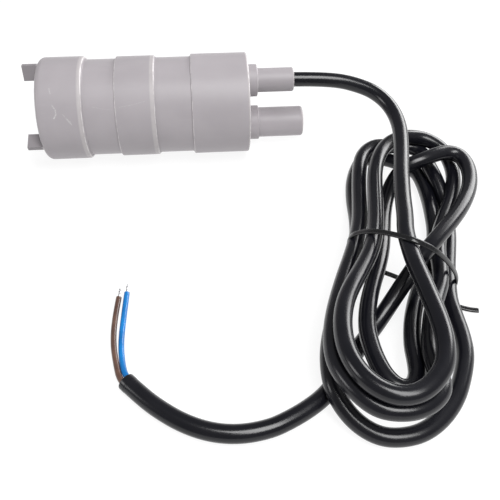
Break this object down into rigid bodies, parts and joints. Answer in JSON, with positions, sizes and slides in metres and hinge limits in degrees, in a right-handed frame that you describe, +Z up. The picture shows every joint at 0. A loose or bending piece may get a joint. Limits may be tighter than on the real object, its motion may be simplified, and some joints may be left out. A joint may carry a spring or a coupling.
{
  "type": "submersible pump",
  "caption": "Slim cylindrical low-voltage submersible pump with an intake end on feet, an outlet spigot, and a tied hank of two-core cable ending in bare cores.",
  "frame": {"origin": "under the middle of the pump lying on its side, on the floor", "axes": "+X along the pump axis towards the outlet and cable end, +Z up"},
  "size_m": [0.1864, 0.1831, 0.0437],
  "materials": {
    "shell": "smooth light grey",
    "capsule": "moulded dark grey",
    "rubber": "matt black",
    "steel": "plated",
    "bronze": "sintered",
    "magnet": "ferrite",
    "carbon": "graphite",
    "copper": "enamelled",
    "tinned": "tinned",
    "blue_core": "smooth",
    "brown_core": "smooth",
    "sheath": "smooth black",
    "tie": "black"
  },
  "bodies": {
    "pump": {"bottom_cap": "shell", "housing_tube": "shell", "centre_band": "shell", "top_cap": "shell", "outlet_spigot": "shell", "cable_sleeve": "shell", "seal_plate": "capsule", "plate_o_ring": "rubber", "shaft_seal": "rubber", "motor_screws": "steel", "motor_capsule": "capsule", "capsule_lid": "capsule", "cable_grommet": "rubber", "motor_can": "steel", "front_bush": "bronze", "end_bell": "capsule", "rear_bush": "bronze", "motor_ring": "rubber", "magnet_upper": "magnet", "magnet_lower": "magnet", "brush_left": "carbon", "brush_right": "carbon", "brush_arm_left": "bronze", "brush_arm_right": "bronze", "terminal_left": "tinned", "terminal_right": "tinned", "inner_lead_blue": "blue_core", "inner_lead_brown": "brown_core", "cord_captive": "sheath", "cord_lead": "sheath", "cord_hank": "sheath", "cord_tail": "sheath", "core_blue": "blue_core", "core_brown": "brown_core", "bare_tip_blue": "tinned", "bare_tip_brown": "tinned", "hank_tie": "tie"},
    "rotor": {"shaft": "steel", "armature_core": "steel", "coil_1": "copper", "coil_2": "copper", "coil_3": "copper", "commutator": "copper", "impeller": "capsule"}
  },
  "joints": [
    {"name": "rotor_spin", "type": "hinge", "parent": "pump", "child": "rotor", "pos_m": [0, 0, 0.02185], "axis": [1, 0, 0], "continuous": true}
  ]
}
